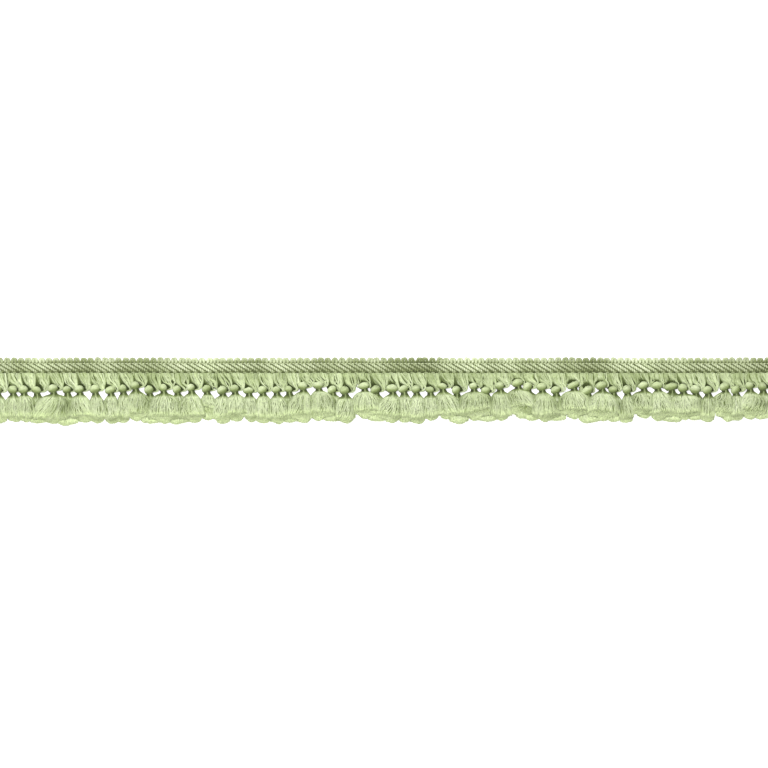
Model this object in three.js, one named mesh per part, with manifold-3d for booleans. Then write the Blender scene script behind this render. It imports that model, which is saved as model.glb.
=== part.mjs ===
// A cut length of tassel trim, lying face up on a table. A woven heading with a looped top edge carries
// a row of yarn tassels. Each tassel is one bundle of the heading's fringe yarn, tied in an overhand knot
// above a short, spread skirt.
// Millimetres. X runs along the trim, Y up its face towards the looped edge, and Z up off the table.
// The origin is the middle of the heading band's back face.
import * as THREE from 'three';
import { mergeVertices } from 'three/addons/utils/BufferGeometryUtils.js';
import Module from 'manifold-3d';

const wasm = await Module();
wasm.setup();

const { degToRad, lerp } = THREE.MathUtils;

// Driving dimensions
const TASSEL_PITCH = 7;
const RIB_PITCH = TASSEL_PITCH / 2; // two ribs and two edge loops of the heading to each tassel
const GAP = 0.3; // clear space kept between neighbouring pieces

// How each tassel lies, from the left end of the trim to the right: a letter of SKIRTS and one of KNOTS
const SKIRT_CHART = 'mmmtwtqmmmBtbtbsmbmmmtBBtmBtbmmmrtBtMHTrtBtBtnBBTbtnrmBT';
const KNOT_CHART = 'crlLcclcrclllllcrccccllcclRrRrccllrccRcccRRRrrRRRrclrllL';
const TRIM_LENGTH = SKIRT_CHART.length * TASSEL_PITCH;

// Ways a skirt lies. rise draws its knot up towards the heading, lean carries its hem along the trim, reach
// lets the hem down, fan and flat are the most that its domed and its flat layer spread to each side, and
// crown is its height off the table. A tucked skirt has no crown: it lies flat, under its neighbours.
const SKIRTS = {
  b: { lies: 'bell', rise: 0.6, lean: 0.2, reach: 0.2, fan: 8.0, flat: 3.4, crown: 6.2 },
  B: { lies: 'bell, drawn up', rise: 2.0, lean: 0.2, reach: -0.2, fan: 8.0, flat: 3.4, crown: 6.2 },
  w: { lies: 'wide bell, leaning left', rise: 0.6, lean: -2.2, reach: 0.0, fan: 9.0, flat: 3.4, crown: 6.2 },
  q: { lies: 'bell, to the right', rise: 0.0, lean: 1.0, reach: 0.2, fan: 6.5, flat: 3.4, crown: 5.8 },
  r: { lies: 'bell, leaning right', rise: 1.6, lean: 1.8, reach: 0.2, fan: 7.0, flat: 3.4, crown: 5.8 },
  H: { lies: 'leaning bell, far up', rise: 3.0, lean: 1.8, reach: -0.6, fan: 7.0, flat: 3.4, crown: 6.0 },
  s: { lies: 'short bell', rise: 0.3, lean: 0.0, reach: -0.8, fan: 4.6, flat: 3.4, crown: 5.4 },
  m: { lies: 'even', rise: 0.0, lean: 0.3, reach: 0.6, fan: 5.0, flat: 3.4, crown: 5.2 },
  M: { lies: 'even, drawn up', rise: 1.6, lean: 0.3, reach: 0.0, fan: 5.0, flat: 3.4, crown: 5.4 },
  n: { lies: 'narrow', rise: 0.1, lean: -0.2, reach: 0.4, fan: 3.6, flat: 3.4, crown: 4.8 },
  t: { lies: 'tucked', rise: 0.0, lean: 0.0, reach: 0.5, fan: 0, flat: 5.5, crown: 0 },
  T: { lies: 'tucked, drawn up', rise: 1.4, lean: 0.0, reach: 0.3, fan: 0, flat: 5.5, crown: 0 },
};

// Places a knot lies in: how far along the trim from the middle of the tassel's own stretch of heading, and
// the knot's half width there
const KNOTS = {
  L: { lies: 'far left', along: -3.0, halfWidth: 2.0 },
  l: { lies: 'left', along: -2.5, halfWidth: 2.1 },
  c: { lies: 'left of the middle', along: -1.7, halfWidth: 2.15 },
  r: { lies: 'near the middle', along: -0.9, halfWidth: 2.15 },
  R: { lies: 'under the middle', along: 0.3, halfWidth: 2.6 },
};

// Heading: a row for each edge of its section, from the back of the lower edge round over the front. Each
// has its place across the band and its height on a rib, and the same in the groove between two ribs.
const BAND_LOW = -3;
const RIB_TOP = 2.2; // where the ribs end, under the edge loops
const LOOP_FOOT = 3.1; // where two edge loops meet
const LOOP_TIP = 4.7;
const HEADING_ROWS = [
  { edge: 'back, lower edge', y: BAND_LOW, z: 0, grooveY: BAND_LOW, grooveZ: 0 },
  { edge: 'front, lower edge', y: BAND_LOW, z: 1.5, grooveY: BAND_LOW, grooveZ: 0.9 },
  { edge: 'front, under the loops', y: RIB_TOP, z: 1.9, grooveY: RIB_TOP, grooveZ: 1.2 },
  { edge: 'front, loop tip', y: LOOP_TIP, z: 1.3, grooveY: LOOP_FOOT, grooveZ: 1.0 },
  { edge: 'back, loop tip', y: LOOP_TIP, z: 0, grooveY: LOOP_FOOT, grooveZ: 0 },
];
const RIB_RUN = 1.65; // how far a rib runs along the trim for each millimetre down the band
const STEPS_PER_RIB = 2; // a crest and a groove

// Knot and neck, turned in one: a row for each ring, from the foot of the neck up, with its height above the
// knot's centre
const KNOT_Y = -11.6;
const KNOT_RADIUS = 2.05;
const KNOT_LIFT = 0.1; // off the table
const KNOT_TILT = degToRad(14); // carries the neck to the right of the knot
const KNOT_SIDES = 6;
const NECK_RADIUS = 1.35;
const NECK_DROP = 2.8; // from the knot's centre down to the roots of the skirt
const NECK_FOOT = -NECK_DROP - 0.8; // inside the skirt
const KNOT_ROWS = [
  { ring: 'foot', radius: 0, up: NECK_FOOT },
  { ring: 'neck, lower end', radius: NECK_RADIUS, up: NECK_FOOT },
  { ring: 'neck, upper end', radius: NECK_RADIUS, up: -0.8 * KNOT_RADIUS },
  { ring: 'middle', radius: KNOT_RADIUS, up: 0 },
  { ring: 'shoulder', radius: 0.75 * KNOT_RADIUS, up: 0.65 * KNOT_RADIUS },
  { ring: 'top', radius: 0, up: KNOT_RADIUS },
];

// Bundle of yarn between the heading and the knot: a row for each section, with its share of the way down to
// the knot's centre, its half width, and the heights of its back and front. Its front is narrower. The last
// section lies inside the knot, to the right of the knot's centre.
const BUNDLE_FRONT = 0.72; // the front's share of the width
const TIP_ALONG = 0.65; // from the middle of the tassel's own stretch of heading to the bundle's tip
const TUCK_ALONG = 0.7; // from the knot's centre to the section inside it
const BUNDLE_ROWS = [
  { part: 'root', down: 0, halfWidth: 3.3, back: 0, front: 1.3 },
  { part: 'swell', down: 0.4, halfWidth: 2.9, back: 0, front: 2.6 },
  { part: 'tip', down: 0.86, halfWidth: 0.95, back: 0.6, front: 2.8 },
];
const BUNDLE_TUCK = { part: 'inside the knot', down: 1.05, halfWidth: 0.8, back: 1.3, front: 2.8 };

// Skirt: locks of yarn fan out of the neck, in a flat layer on the table, and in a domed layer over it on
// all but the tucked skirts
const LOCKS_PER_LAYER = 3;
const ROOT_HALF_WIDTH = 1.1;
const SHOULDER_Y = -17.5;
const SHOULDER_SHARE = 0.78; // how much of its lane a layer fills at the shoulder
const SLIT_Y = -16.8; // where two locks part
const SLIT_WIDTH = 0.5; // between two locks, at the hem
const HEM_Y = -27;
const HEM_TILT = 0.0035; // the skirts are cut a little shorter towards the right
const HEM_CURVE = 0.9; // how far the hem rises at the sides of a skirt
const HEM_STRAY = { most: 0.5, turnPerTassel: 2.4, turnPerLock: 1.9 }; // up and down, from lock to lock
const FLAT_TOP = 1.9;
const FLAT_ROOT = { back: 1.1, front: FLAT_TOP };
const FLAT_SHOULDER = { back: 0, front: FLAT_TOP };
const FLAT_HEM = { back: 0, front: 1.6 };
const DOME_BACK = FLAT_TOP + GAP;
const DOME_ROOT = { back: DOME_BACK, front: 3.4 };
const DOME_HEM_UP = 1.6; // how far the domed layer's hem stays above the flat layer's
const DOME_DROOP = 1.2; // from the crown down to the middle of the domed hem
const DOME_FALL = 0.7; // how much of the dome's height is lost at its sides

const braid = new THREE.MeshStandardMaterial({ color: 0xa5b083, roughness: 0.85, metalness: 0 });
const yarn = new THREE.MeshStandardMaterial({ color: 0xbecc9c, roughness: 0.8, metalness: 0 });

// A closed mesh as a solid that can be joined and cut
function solidOf(geometry) {
  const bare = geometry.clone();
  bare.deleteAttribute('normal');
  bare.deleteAttribute('uv');
  const merged = mergeVertices(bare);
  return new wasm.Manifold(new wasm.Mesh({
    numProp: 3,
    vertProperties: merged.attributes.position.array,
    triVerts: new Uint32Array(merged.index.array),
  }));
}

function geometryOf(solid) {
  const mesh = solid.getMesh();
  const geometry = new THREE.BufferGeometry();
  geometry.setAttribute('position', new THREE.BufferAttribute(mesh.vertProperties, mesh.numProp));
  geometry.setIndex(new THREE.BufferAttribute(mesh.triVerts, 1));
  geometry.computeVertexNormals();
  return geometry;
}

function facetsOf(points, index) {
  const geometry = new THREE.BufferGeometry().setFromPoints(points);
  geometry.setIndex(index);
  return geometry;
}

// A closed skin over a row of sections. Each section's points go round it clockwise, as seen from the last.
function loft(sections) {
  const sides = sections[0].length;
  const index = [];
  for (let row = 0; row < sections.length - 1; row++) {
    for (let side = 0; side < sides; side++) {
      const a = row * sides + side;
      const b = row * sides + (side + 1) % sides;
      index.push(a, a + sides, b + sides, a, b + sides, b);
    }
  }
  const last = (sections.length - 1) * sides;
  for (let side = 1; side < sides - 1; side++) {
    index.push(0, side, side + 1, last, last + side + 1, last + side);
  }
  return facetsOf(sections.flat(), index);
}

// A closed slab over an anticlockwise outline, with a back and a front height at each of its points
function slab(outline) {
  const count = outline.length;
  const front = outline.map((p) => new THREE.Vector3(p.x, p.y, p.front));
  const back = outline.map((p) => new THREE.Vector3(p.x, p.y, p.back));
  const flat = outline.map((p) => new THREE.Vector2(p.x, p.y));
  const index = [];
  for (const [a, b, c] of THREE.ShapeUtils.triangulateShape(flat, [])) {
    index.push(a, b, c, count + c, count + b, count + a);
  }
  for (let a = 0; a < count; a++) {
    const b = (a + 1) % count;
    index.push(a, count + a, count + b, a, count + b, b);
  }
  return facetsOf([...front, ...back], index);
}

// The heading is lofted along the trim, its sections slanted to follow the ribs, and then cut off square.
function makeHeading() {
  const slant = RIB_RUN * (LOOP_TIP - BAND_LOW);
  const steps = STEPS_PER_RIB * Math.ceil((TRIM_LENGTH + 2 * slant) / RIB_PITCH);
  const sections = [];
  for (let step = 0; step <= steps; step++) {
    const along = (step - steps / 2) * RIB_PITCH / STEPS_PER_RIB;
    const groove = step % STEPS_PER_RIB === 0;
    sections.push(HEADING_ROWS.map((row) => new THREE.Vector3(
      along - RIB_RUN * row.y,
      groove ? row.grooveY : row.y,
      groove ? row.grooveZ : row.z,
    )));
  }
  const square = new THREE.BoxGeometry(TRIM_LENGTH, TRIM_LENGTH, TRIM_LENGTH);
  return geometryOf(solidOf(loft(sections)).intersect(solidOf(square)));
}

// Where each tassel's root, knot, neck and hem lie
const tassels = [...SKIRT_CHART].map((letter, place) => {
  const skirt = SKIRTS[letter];
  const knotPlace = KNOTS[KNOT_CHART[place]];
  const rootX = (place - (SKIRT_CHART.length - 1) / 2) * TASSEL_PITCH;
  const knot = new THREE.Vector3(rootX + knotPlace.along, KNOT_Y + skirt.rise, KNOT_RADIUS + KNOT_LIFT);
  const neck = new THREE.Vector3(knot.x + NECK_DROP * Math.sin(KNOT_TILT), knot.y - NECK_DROP, knot.z);
  return {
    place, skirt, rootX, knot, neck,
    knotStretch: knotPlace.halfWidth / KNOT_RADIUS,
    hemX: neck.x + skirt.lean,
    hemY: HEM_Y + HEM_TILT * rootX - skirt.reach,
  };
});

// The two layers of the skirts: the tassels that have one, and how far it may spread to each side
const flatLayer = { tassels, spreadOf: (tassel) => tassel.skirt.flat };
const domeLayer = {
  tassels: tassels.filter((tassel) => tassel.skirt.crown > 0),
  spreadOf: (tassel) => tassel.skirt.fan,
};

// The strip of table that a layer of a skirt may cover at one y: no wider than its own spread, and up to its
// share of the room to the next skirt in that layer
function lane(tassel, layer, y) {
  const down = (KNOT_Y - NECK_DROP - y) / (KNOT_Y - NECK_DROP - HEM_Y);
  const middleOf = (other) => lerp(other.neck.x, other.hemX, down);
  const middle = middleOf(tassel);
  const spread = layer.spreadOf(tassel);
  const roomTo = (other) => {
    if (!other) return Infinity;
    const share = spread / (spread + layer.spreadOf(other));
    return share * Math.abs(middleOf(other) - middle) - GAP / 2;
  };
  const place = layer.tassels.indexOf(tassel);
  return {
    middle,
    left: middle - Math.min(spread, roomTo(layer.tassels[place - 1])),
    right: middle + Math.min(spread, roomTo(layer.tassels[place + 1])),
  };
}

// One layer of a skirt: its outline goes down the left side, along the hem from lock to lock, and up the
// right side. heights gives the back and front at an x, at the shoulder or the hem.
function makeLayer(tassel, layer, hemY, root, heights) {
  const shoulder = lane(tassel, layer, SHOULDER_Y);
  const hem = lane(tassel, layer, hemY);
  const outline = [];
  const addRoot = (x) => outline.push({ x, y: tassel.neck.y, ...root });
  const addShoulder = (share, y) => {
    const x = lerp(shoulder.middle, share < 0 ? shoulder.left : shoulder.right, Math.abs(share));
    outline.push({ x, y, ...heights('shoulder', x, shoulder) });
  };
  addRoot(tassel.neck.x - ROOT_HALF_WIDTH);
  addShoulder(-SHOULDER_SHARE, SHOULDER_Y);
  for (let lock = 0; lock < LOCKS_PER_LAYER; lock++) {
    if (lock > 0) addShoulder(SHOULDER_SHARE * (2 * lock / LOCKS_PER_LAYER - 1), SLIT_Y);
    const turn = HEM_STRAY.turnPerTassel * tassel.place + HEM_STRAY.turnPerLock * lock;
    for (const edge of [lock, lock + 1]) {
      const share = edge / LOCKS_PER_LAYER;
      const inwards = edge === lock ? SLIT_WIDTH / 2 : -SLIT_WIDTH / 2;
      const x = lerp(hem.left, hem.right, share) + inwards;
      const y = hemY + HEM_STRAY.most * Math.sin(turn) + HEM_CURVE * (2 * share - 1) ** 2;
      outline.push({ x, y, ...heights('hem', x, hem) });
    }
  }
  addShoulder(SHOULDER_SHARE, SHOULDER_Y);
  addRoot(tassel.neck.x + ROOT_HALF_WIDTH);
  return slab(outline);
}

function makeFlatLayer(tassel) {
  const heights = (part) => (part === 'hem' ? FLAT_HEM : FLAT_SHOULDER);
  return makeLayer(tassel, flatLayer, tassel.hemY, FLAT_ROOT, heights);
}

function makeDomeLayer(tassel) {
  const heights = (part, x, { left, middle, right }) => {
    const out = x < middle ? (middle - x) / (middle - left) : (x - middle) / (right - middle);
    const top = tassel.skirt.crown - (part === 'hem' ? DOME_DROOP : 0);
    return { back: DOME_BACK, front: lerp(top, DOME_BACK, DOME_FALL * out * out) };
  };
  return makeLayer(tassel, domeLayer, tassel.hemY + DOME_HEM_UP, DOME_ROOT, heights);
}

function makeBundle(tassel) {
  const sectionAt = (row, x) => {
    const y = lerp(BAND_LOW - GAP, tassel.knot.y, row.down);
    const frontHalf = BUNDLE_FRONT * row.halfWidth;
    return [
      new THREE.Vector3(x - row.halfWidth, y, row.back),
      new THREE.Vector3(x - frontHalf, y, row.front),
      new THREE.Vector3(x + frontHalf, y, row.front),
      new THREE.Vector3(x + row.halfWidth, y, row.back),
    ];
  };
  const sections = BUNDLE_ROWS.map((row) => sectionAt(row, tassel.rootX + TIP_ALONG * row.down));
  sections.push(sectionAt(BUNDLE_TUCK, tassel.knot.x + TUCK_ALONG));
  return loft(sections);
}

function makeKnot(tassel) {
  const profile = KNOT_ROWS.map((row) => new THREE.Vector2(row.radius, row.up));
  const knot = new THREE.LatheGeometry(profile, KNOT_SIDES);
  knot.scale(tassel.knotStretch, 1, 1);
  knot.rotateZ(KNOT_TILT);
  return knot.translate(tassel.knot.x, tassel.knot.y, tassel.knot.z);
}

function makeTassel(tassel) {
  const pieces = [makeBundle(tassel), makeKnot(tassel), makeFlatLayer(tassel)];
  if (tassel.skirt.crown > 0) pieces.push(makeDomeLayer(tassel));
  return geometryOf(pieces.map(solidOf).reduce((whole, piece) => whole.add(piece)));
}

function named(name, geometry, material) {
  const mesh = new THREE.Mesh(geometry, material);
  mesh.name = name;
  return mesh;
}

const trim = new THREE.Group();
trim.add(named('heading', makeHeading(), braid));
for (const tassel of tassels) {
  const number = String(tassel.place + 1).padStart(2, '0');
  trim.add(named(`tassel_${number}`, makeTassel(tassel), yarn));
}

export default trim;
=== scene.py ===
import math
from types import SimpleNamespace

import bpy
import numpy as np
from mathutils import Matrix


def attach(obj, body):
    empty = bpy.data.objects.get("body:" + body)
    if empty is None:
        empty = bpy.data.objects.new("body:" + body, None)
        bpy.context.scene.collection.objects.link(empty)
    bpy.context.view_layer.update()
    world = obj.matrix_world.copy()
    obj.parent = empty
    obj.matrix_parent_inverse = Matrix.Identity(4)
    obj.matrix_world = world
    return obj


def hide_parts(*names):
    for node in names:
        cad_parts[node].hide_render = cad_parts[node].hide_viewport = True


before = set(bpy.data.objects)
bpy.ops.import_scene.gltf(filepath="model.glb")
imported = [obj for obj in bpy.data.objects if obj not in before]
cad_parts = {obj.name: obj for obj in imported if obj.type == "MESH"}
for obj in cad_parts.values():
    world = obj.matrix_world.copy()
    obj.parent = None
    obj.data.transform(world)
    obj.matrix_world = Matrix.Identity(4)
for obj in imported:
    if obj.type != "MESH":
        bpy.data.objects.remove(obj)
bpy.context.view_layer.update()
bpy.ops.object.select_all(action="DESELECT")


# Ground of the heading
# The heading is a narrow woven braid. Its warp is a row of soft cotton yarns that run the whole length of
# the trim side by side, rising and falling where the weft cords of the next section pass between them.
MM = 0.001  # sizes are in millimetres here, and a finished mesh is in metres
TRIM_LENGTH = 392.0
RIB_PITCH = 3.5
WARP_YARNS = 10
WARP_LOW, WARP_HIGH = -2.7, 2.9
WARP_RADIUS = 0.36
WARP_SIDES = 6
WARP_HEIGHT = 0.5
WARP_WAVE = 0.12
WARP_DEEP = 0.65  # how deep in shade it lies, from 0 to 1
EDGE_WARP_DEEP = 0.25  # the last yarn lies higher, between the feet of the loops, and shows there
EDGE_WARP_UP = 0.4
BRAID_HALF = (0.21, 0.25, 0.105, 1.0)
BRAID_SHADE = (0.04, 0.055, 0.012, 1.0)
BRAID_YARN = (0.49, 0.565, 0.32, 1.0)
BRAID_PALE = (0.72, 0.78, 0.54, 1.0)
STRIP_SHAPE = 8  # in a mesh's second map, how many times as long as wide a yarn's strip is
STRIP_ACROSS = (0.1, 0.8)  # where a yarn starts in its strip, and how much of the strip it fills
STRIP_ALONG = (0.06, 0.88)
LID_SHARE = 0.03  # how far a yarn's end faces reach past its ends in that strip
STREAKS_ALONG, STREAKS_ROUND = 0.8, 4.0  # fibre streaks for each millimetre along a yarn, and round it
STREAKS_BY_TONE = 60.0  # a yarn's tone picks streaks that its neighbours don't have
PATCHES_PER_METRE, PATCH_CONTRAST = 70.0, 0.9
PLIES_IN_YARN = 2

chance = np.random.default_rng(56)


def unit(vectors):
    return vectors / np.linalg.norm(vectors, axis=-1, keepdims=True)


def carried_normals(paths):
    """Two normals at each point of many paths, carried along each path without twisting."""
    tangents = unit(np.gradient(paths, axis=1))
    steep = np.abs(tangents[:, 0, 2:]) > 0.9
    aside = np.where(steep, (1.0, 0.0, 0.0), (0.0, 0.0, 1.0))
    normal = unit(np.cross(tangents[:, 0], aside))
    normals = np.empty_like(paths)
    for point in range(paths.shape[1]):
        tangent = tangents[:, point]
        normal = unit(normal - tangent * np.sum(normal * tangent, axis=-1, keepdims=True))
        normals[:, point] = normal
    return normals, np.cross(tangents, normals)


def run_along(paths):
    """How far each point lies along its path."""
    steps = np.linalg.norm(np.diff(paths, axis=1), axis=-1)
    return np.concatenate([np.zeros((len(paths), 1)), np.cumsum(steps, axis=1)], axis=1)


def yarn_tubes(paths, radius, sides, tone, tip=0.0, deep=0.0):
    """Closed round tubes along many paths at once, with the marks that the yarn's finish reads: tone for
    each yarn, tip towards its cut end, a paler colour that is partly painted light, and deep for painted
    shade where it lies in the shade of other yarns."""
    shape = paths.shape[:2]
    count, points = shape
    first, second = carried_normals(paths)
    angle = 2 * math.pi * np.arange(sides) / sides
    spokes = first[:, :, None] * np.cos(angle)[:, None] + second[:, :, None] * np.sin(angle)[:, None]
    radius = np.broadcast_to(radius, shape)
    index = np.arange(count * points * sides).reshape(count, points, sides)
    beside = np.roll(index, -1, axis=2)
    wall = np.stack([index[:, :-1], beside[:, :-1], beside[:, 1:], index[:, 1:]], axis=-1).reshape(-1, 4)
    run = run_along(paths)
    share = run / run[:, -1:]
    faces = []
    for corners, lid in ((wall, 0.0), (index[:, 0, ::-1], -1.0), (index[:, -1], 1.0)):
        turn = corners % sides / sides
        if corners is wall:
            turn = turn[:, :1] + np.array((0, 1, 1, 0)) / sides
        faces.append({
            "corners": corners,
            "run": run.ravel()[corners // sides],
            "turn": turn,
            "across": turn,
            "share": share.ravel()[corners // sides] + LID_SHARE * lid * np.abs(2 * turn - 1),
            "yarn": corners[:, :1] // (points * sides),
        })
    skin = paths[:, :, None] + radius[:, :, None, None] * spokes
    block = {"points": skin.reshape(-1, 3), "faces": faces, "yarns": count}
    for mark, value in (("tone", np.reshape(tone, (-1, 1))), ("tip", tip), ("deep", deep)):
        block[mark] = np.repeat(np.broadcast_to(value, shape).ravel(), sides)
    return block


def yarn_piece(name, blocks, finish):
    """One mesh of many yarns. Its first map follows each yarn, in millimetres along it and in turns round
    it, and its second lays every yarn in a strip of its own."""
    loops, sizes, along_map, strip_map = [], [], [], []
    yarns = sum(block["yarns"] for block in blocks)
    columns = math.ceil(math.sqrt(STRIP_SHAPE * yarns))
    rows = math.ceil(yarns / columns)
    first_point = first_yarn = 0
    for block in blocks:
        for face in block["faces"]:
            loops.append((first_point + face["corners"]).ravel())
            sizes.append(np.full(len(face["corners"]), face["corners"].shape[1]))
            along_map.append(np.stack([face["run"], face["turn"]], axis=-1).reshape(-1, 2))
            yarn = first_yarn + face["yarn"]
            across = (yarn % columns + STRIP_ACROSS[0] + STRIP_ACROSS[1] * face["across"]) / columns
            along = (yarn // columns + STRIP_ALONG[0] + STRIP_ALONG[1] * face["share"]) / rows
            strip_map.append(np.stack([across, along], axis=-1).reshape(-1, 2))
        first_point += len(block["points"])
        first_yarn += block["yarns"]

    points = np.concatenate([block["points"] for block in blocks]) * MM
    loops = np.concatenate(loops)
    sizes = np.concatenate(sizes)
    mesh = bpy.data.meshes.new(name)
    mesh.vertices.add(len(points))
    mesh.vertices.foreach_set("co", points.ravel())
    mesh.loops.add(len(loops))
    mesh.loops.foreach_set("vertex_index", loops)
    mesh.polygons.add(len(sizes))
    mesh.polygons.foreach_set("loop_start", np.concatenate([[0], np.cumsum(sizes)[:-1]]))
    mesh.update(calc_edges=True)
    mesh.shade_smooth()
    for map_name, coordinates in (("along_yarn", along_map), ("OFBake", strip_map)):
        layer = mesh.uv_layers.new(name=map_name)
        layer.uv.foreach_set("vector", np.concatenate(coordinates).ravel())
    for mark in ("tone", "tip", "deep"):
        attribute = mesh.attributes.new(mark, "FLOAT", "POINT")
        attribute.data.foreach_set("value", np.concatenate([block[mark] for block in blocks]))
    mesh.materials.append(finish)
    mesh.validate()
    piece = bpy.data.objects.new(name, mesh)
    bpy.context.scene.collection.objects.link(piece)
    return piece


def make_spun_yarn():
    """Node group for spun yarn: colour by the yarn's marks, with fibre streaks, and its twist as relief."""
    group = bpy.data.node_groups.new("spun_yarn", "ShaderNodeTree")
    for socket in ("Yarn", "Pale yarn", "Cut tip", "Half shade", "In shade"):
        group.interface.new_socket(socket, in_out="INPUT", socket_type="NodeSocketColor")
    for socket in ("Turns per mm", "Streak contrast"):
        group.interface.new_socket(socket, in_out="INPUT", socket_type="NodeSocketFloat")
    group.interface.new_socket("Colour", in_out="OUTPUT", socket_type="NodeSocketColor")
    group.interface.new_socket("Relief", in_out="OUTPUT", socket_type="NodeSocketFloat")
    nodes, links = group.nodes, group.links
    given = nodes.new("NodeGroupInput")
    put_out = nodes.new("NodeGroupOutput")

    def mark(name):
        node = nodes.new("ShaderNodeAttribute")
        node.attribute_name = name
        return node.outputs["Fac"]

    def mix(blend, factor, below, above):
        node = nodes.new("ShaderNodeMix")
        node.data_type = "RGBA"
        node.blend_type = blend
        sockets = (node.inputs[0], node.inputs[6], node.inputs[7])
        for socket, source in zip(sockets, (factor, below, above)):
            if isinstance(source, bpy.types.NodeSocket):
                links.new(source, socket)
            else:
                socket.default_value = source
        return node.outputs[2]

    def maths(operation, *values):
        node = nodes.new("ShaderNodeMath")
        node.operation = operation
        for socket, source in zip(node.inputs, values):
            if isinstance(source, bpy.types.NodeSocket):
                links.new(source, socket)
            else:
                socket.default_value = source
        return node.outputs[0]

    along = nodes.new("ShaderNodeUVMap")
    along.uv_map = "along_yarn"
    parts = nodes.new("ShaderNodeSeparateXYZ")
    links.new(along.outputs["UV"], parts.inputs["Vector"])
    run, turn = parts.outputs["X"], parts.outputs["Y"]
    own_streaks = nodes.new("ShaderNodeCombineXYZ")
    links.new(maths("MULTIPLY", run, STREAKS_ALONG), own_streaks.inputs["X"])
    links.new(maths("MULTIPLY", turn, STREAKS_ROUND), own_streaks.inputs["Y"])
    links.new(maths("MULTIPLY", mark("tone"), STREAKS_BY_TONE), own_streaks.inputs["Z"])
    streaks = nodes.new("ShaderNodeTexNoise")
    streaks.inputs["Scale"].default_value = 1.0
    streaks.inputs["Detail"].default_value = 3.0
    links.new(own_streaks.outputs["Vector"], streaks.inputs["Vector"])

    place = nodes.new("ShaderNodeTexCoord")
    patches = nodes.new("ShaderNodeTexNoise")
    patches.inputs["Scale"].default_value = PATCHES_PER_METRE
    patches.inputs["Detail"].default_value = 2.0
    links.new(place.outputs["Object"], patches.inputs["Vector"])

    patch = maths("MULTIPLY", maths("SUBTRACT", patches.outputs["Fac"], 0.5), PATCH_CONTRAST)
    tone = maths("ADD", mark("tone"), patch)
    colour = mix("MIX", tone, given.outputs["Yarn"], given.outputs["Pale yarn"])
    colour = mix("MIX", mark("tip"), colour, given.outputs["Cut tip"])
    # The first half of deep leads to the half shade, and the second half to full shade.
    deep = maths("MULTIPLY", mark("deep"), 2.0)
    colour = mix("MIX", maths("MINIMUM", deep, 1.0), colour, given.outputs["Half shade"])
    colour = mix("MIX", maths("SUBTRACT", deep, 1.0), colour, given.outputs["In shade"])
    streak = maths("SUBTRACT", streaks.outputs["Fac"], 0.5)
    light = maths("ADD", 1.0, maths("MULTIPLY", streak, given.outputs["Streak contrast"]))
    fibre = nodes.new("ShaderNodeCombineColor")
    for channel in ("Red", "Green", "Blue"):
        links.new(light, fibre.inputs[channel])
    links.new(mix("MULTIPLY", 1.0, colour, fibre.outputs["Color"]), put_out.inputs["Colour"])

    turned = maths("ADD", maths("MULTIPLY", run, given.outputs["Turns per mm"]), turn)
    twist = maths("SINE", maths("MULTIPLY", turned, 2 * math.pi * PLIES_IN_YARN))
    links.new(maths("ADD", maths("MULTIPLY", twist, 0.5), streaks.outputs["Fac"]), put_out.inputs["Relief"])
    return group


spun_yarn = make_spun_yarn()


def yarn_finish(name, yarn, pale, tip, half_shade, shade, turns_per_mm, streak_contrast, relief):
    """A soft, matt yarn in these five colours: two of them are painted shade, and the cut tip's is partly
    painted light. Relief is the depth of its twist, in metres.
    """
    finish = bpy.data.materials.new(name)
    finish.use_nodes = True
    nodes, links = finish.node_tree.nodes, finish.node_tree.links
    surface = nodes["Principled BSDF"]
    surface.inputs["Roughness"].default_value = 0.82
    surface.inputs["Specular IOR Level"].default_value = 0.25
    surface.inputs["Sheen Weight"].default_value = 0.03
    surface.inputs["Sheen Roughness"].default_value = 0.45
    spun = nodes.new("ShaderNodeGroup")
    spun.node_tree = spun_yarn
    sockets = ("Yarn", "Pale yarn", "Cut tip", "Half shade", "In shade")
    for socket, colour in zip(sockets, (yarn, pale, tip, half_shade, shade)):
        spun.inputs[socket].default_value = colour
    spun.inputs["Turns per mm"].default_value = turns_per_mm
    spun.inputs["Streak contrast"].default_value = streak_contrast
    bump = nodes.new("ShaderNodeBump")
    bump.inputs["Strength"].default_value = 0.6
    bump.inputs["Distance"].default_value = relief
    links.new(spun.outputs["Colour"], surface.inputs["Base Color"])
    links.new(spun.outputs["Relief"], bump.inputs["Height"])
    links.new(bump.outputs["Normal"], surface.inputs["Normal"])
    return finish


braid_yarn = yarn_finish(
    "braid_yarn", BRAID_YARN, BRAID_PALE, BRAID_PALE, BRAID_HALF, BRAID_SHADE,
    turns_per_mm=0.5, streak_contrast=0.56, relief=0.00008)


def heading_piece(name, blocks):
    piece = yarn_piece(name, blocks, braid_yarn)
    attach(piece, "root")
    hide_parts("heading")


warp_x = np.linspace(-TRIM_LENGTH / 2, TRIM_LENGTH / 2, round(2 * TRIM_LENGTH / RIB_PITCH) + 1)
warp_y = np.linspace(WARP_LOW, WARP_HIGH, WARP_YARNS)
warp_rise = WARP_WAVE * (-1.0) ** (np.arange(WARP_YARNS)[:, None] + np.arange(len(warp_x)))
warp_paths = np.stack(np.broadcast_arrays(warp_x, warp_y[:, None], WARP_HEIGHT + warp_rise), axis=-1)
warp_tones = chance.normal(0.4, 0.1, WARP_YARNS)
warp_deep = np.full((WARP_YARNS, 1), WARP_DEEP)
warp_deep[-1] = EDGE_WARP_DEEP
warp_paths[-1, :, 2] += EDGE_WARP_UP
heading_piece("heading_warp", [yarn_tubes(warp_paths, WARP_RADIUS, WARP_SIDES, warp_tones, deep=warp_deep)])


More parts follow.
